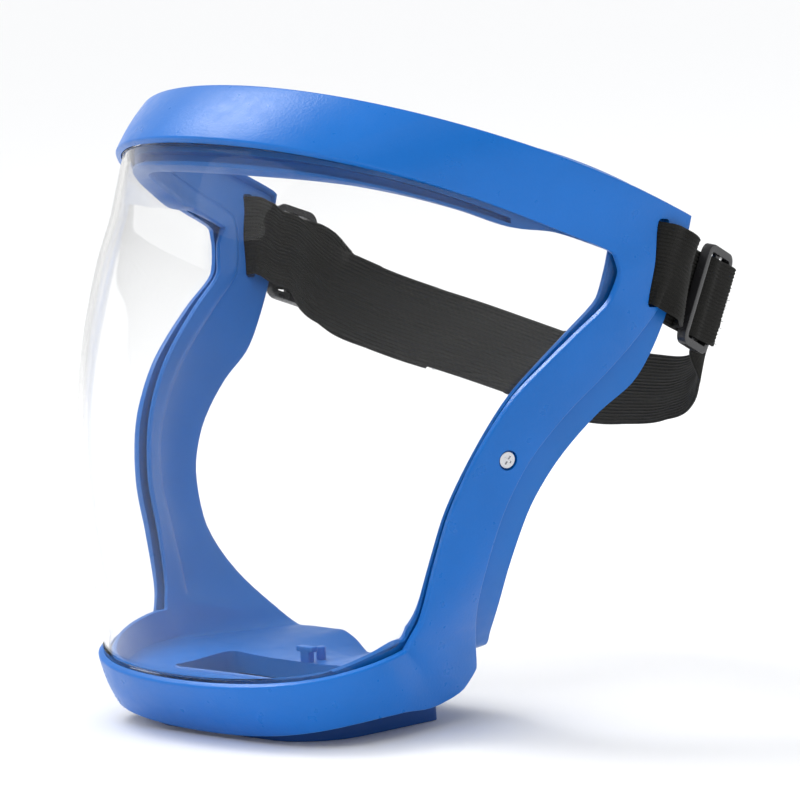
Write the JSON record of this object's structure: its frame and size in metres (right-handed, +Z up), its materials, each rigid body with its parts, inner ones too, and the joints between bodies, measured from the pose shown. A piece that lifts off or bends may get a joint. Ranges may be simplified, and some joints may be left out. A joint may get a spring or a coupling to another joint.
{
  "type": "face shield",
  "caption": "Full-face splash shield: clear domed visor between an outer and an inner frame, with a filter tray under the chin and an elastic head strap with slide buckles.",
  "frame": {"origin": "middle of the footprint, on the flat underside of the chin tray", "axes": "+Z up with the shield standing on its chin, the wearer looks along -Y, and the wearer's left is +X"},
  "size_m": [0.2339, 0.2089, 0.2319],
  "materials": {
    "frame": "satin moulded polypropylene with a fine pebble grain",
    "seal": "satin moulded plastic",
    "lens": "clear polished polycarbonate",
    "tray": "satin moulded plastic, darker blue",
    "filter": "non-woven filter felt",
    "steel": "bright plated steel",
    "webbing": "ribbed woven elastic",
    "buckle": "glossy moulded nylon"
  },
  "bodies": {
    "shield": {"outer_frame": "frame", "inner_frame": "seal", "visor": "lens", "cheek_screw_left": "steel", "cheek_screw_right": "steel", "strap_loop_left": "webbing", "strap_loop_right": "webbing"},
    "tray": {"filter_tray": "tray", "filter_pad": "filter"},
    "strap": {"head_strap": "webbing"},
    "left_buckle": {"buckle_left": "buckle"},
    "right_buckle": {"buckle_right": "buckle"}
  },
  "joints": [
    {"name": "tray_slide", "type": "slide", "parent": "shield", "child": "tray", "axis": [0, 1, 0], "range_m": [0, 0.045]},
    {"name": "strap_swing", "type": "hinge", "parent": "shield", "child": "strap", "pos_m": [-0.004, 0.076, 0.149], "axis": [0.9986, 0.04, -0.035], "range_deg": [-8, 14]},
    {"name": "left_buckle_slide", "type": "slide", "parent": "shield", "child": "left_buckle", "axis": [-0.2804, 0.8812, -0.3805], "range_m": [-0.003, 0.003]},
    {"name": "right_buckle_slide", "type": "slide", "parent": "shield", "child": "right_buckle", "axis": [0.103, 0.927, -0.3605], "range_m": [0, 0.005]}
  ]
}
